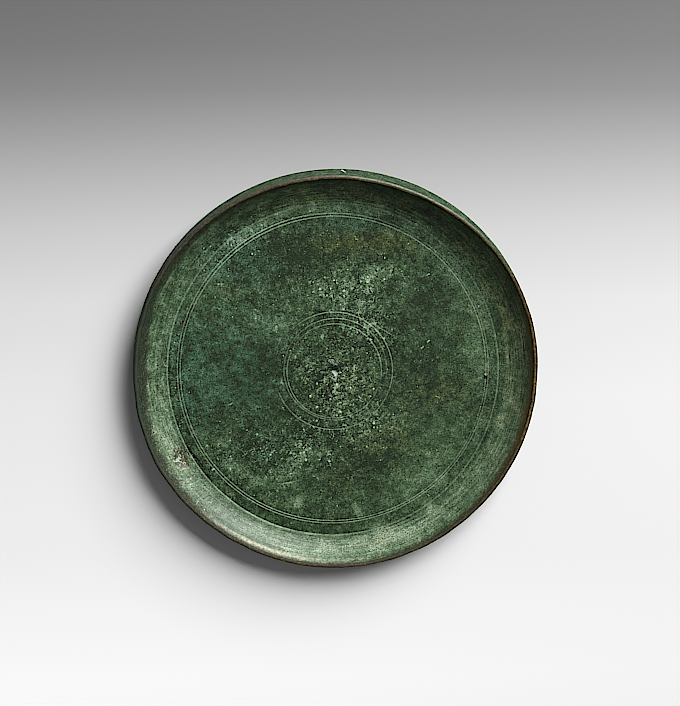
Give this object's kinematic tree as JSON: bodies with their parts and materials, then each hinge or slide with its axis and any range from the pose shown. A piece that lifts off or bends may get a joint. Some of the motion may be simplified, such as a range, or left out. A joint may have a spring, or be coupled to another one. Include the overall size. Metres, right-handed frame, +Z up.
{
  "type": "bronze mirror",
  "caption": "Ancient round bronze mirror: a shallow turned dish with concentric ring grooves, hollow-curved wall, thin worn lip and dark green patina.",
  "frame": {"origin": "centre of the underside, in the plane of the resting band", "axes": "+Z up through the disc's centre, out of the dish; +X and +Y in the plane of the disc, with +Y towards the top of the picture"},
  "size_m": [0.1264, 0.1264, 0.0085],
  "materials": {
    "bronze_patina": "ancient cast bronze with smooth dark green patina, light green speckle in and around the rings, brown metal on the worn lip"
  },
  "bodies": {
    "root": {"mirror_disc": "bronze_patina"}
  },
  "joints": []
}
